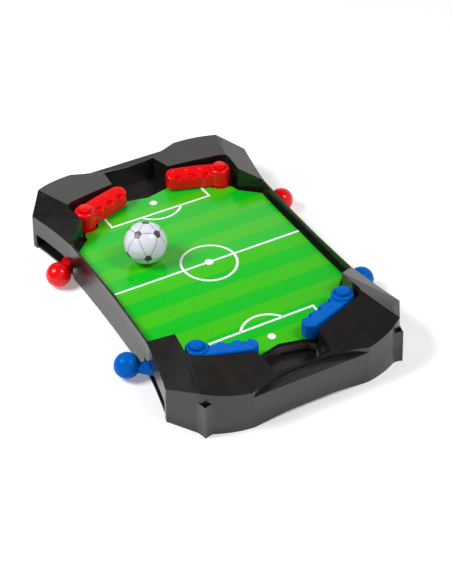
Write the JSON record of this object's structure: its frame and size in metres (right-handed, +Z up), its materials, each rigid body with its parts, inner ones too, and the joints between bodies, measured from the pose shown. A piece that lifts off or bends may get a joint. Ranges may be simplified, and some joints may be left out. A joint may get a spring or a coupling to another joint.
{
  "type": "tabletop football flipper game",
  "caption": "Desktop football game: black housing with a crowned pitch, a goal pocket at each end, sprung paddles on side levers and a small ball.",
  "frame": {"origin": "on the resting plane, under the centre spot of the pitch", "axes": "+Y along the pitch towards the red goal, +X to the right of a player at the blue goal, +Z up"},
  "size_m": [0.2534, 0.3486, 0.0652],
  "materials": {
    "black_plastic": "semi-gloss moulded",
    "pitch_print": "printed and laminated",
    "red_plastic": "gloss moulded",
    "blue_plastic": "gloss moulded",
    "ball_print": "printed, satin",
    "screw_steel": "zinc plated",
    "spring_steel": "drawn wire"
  },
  "bodies": {
    "table": {"housing": "black_plastic", "base_plate": "black_plastic", "pitch_board": "black_plastic", "pitch_sheet": "pitch_print", "case_screws": "screw_steel", "return_spring_red_right": "spring_steel", "return_spring_red_left": "spring_steel", "return_spring_blue_right": "spring_steel", "return_spring_blue_left": "spring_steel"},
    "flipper_red_right": {"paddle_red_right": "red_plastic", "lever_red_right": "red_plastic", "pivot_screw_red_right": "screw_steel"},
    "flipper_red_left": {"paddle_red_left": "red_plastic", "lever_red_left": "red_plastic", "pivot_screw_red_left": "screw_steel"},
    "flipper_blue_right": {"paddle_blue_right": "blue_plastic", "lever_blue_right": "blue_plastic", "pivot_screw_blue_right": "screw_steel"},
    "flipper_blue_left": {"paddle_blue_left": "blue_plastic", "lever_blue_left": "blue_plastic", "pivot_screw_blue_left": "screw_steel"},
    "ball": {"ball_upper_half": "ball_print", "ball_lower_half": "ball_print"}
  },
  "joints": [
    {"name": "flipper_red_right_turn", "type": "hinge", "parent": "table", "child": "flipper_red_right", "pos_m": [0.07, 0.1076, 0.0225], "axis": [0, 0, 1], "range_deg": [0, 60], "stiffness_Nm_per_rad": 0.03, "springref_deg": -20.05, "deforming": ["return_spring_red_right"]},
    {"name": "flipper_red_left_turn", "type": "hinge", "parent": "table", "child": "flipper_red_left", "pos_m": [-0.07, 0.1076, 0.0225], "axis": [0, 0, -1], "range_deg": [0, 60], "stiffness_Nm_per_rad": 0.03, "springref_deg": -20.05, "deforming": ["return_spring_red_left"]},
    {"name": "flipper_blue_right_turn", "type": "hinge", "parent": "table", "child": "flipper_blue_right", "pos_m": [0.07, -0.1076, 0.0225], "axis": [0, 0, -1], "range_deg": [0, 60], "stiffness_Nm_per_rad": 0.03, "springref_deg": -20.05, "deforming": ["return_spring_blue_right"]},
    {"name": "flipper_blue_left_turn", "type": "hinge", "parent": "table", "child": "flipper_blue_left", "pos_m": [-0.07, -0.1076, 0.0225], "axis": [0, 0, 1], "range_deg": [0, 60], "stiffness_Nm_per_rad": 0.03, "springref_deg": -20.05, "deforming": ["return_spring_blue_left"]},
    {"name": "ball_roll", "type": "slide", "parent": "table", "child": "ball", "axis": [1, 0, 0], "range_m": [-0.028, 0.118]}
  ]
}
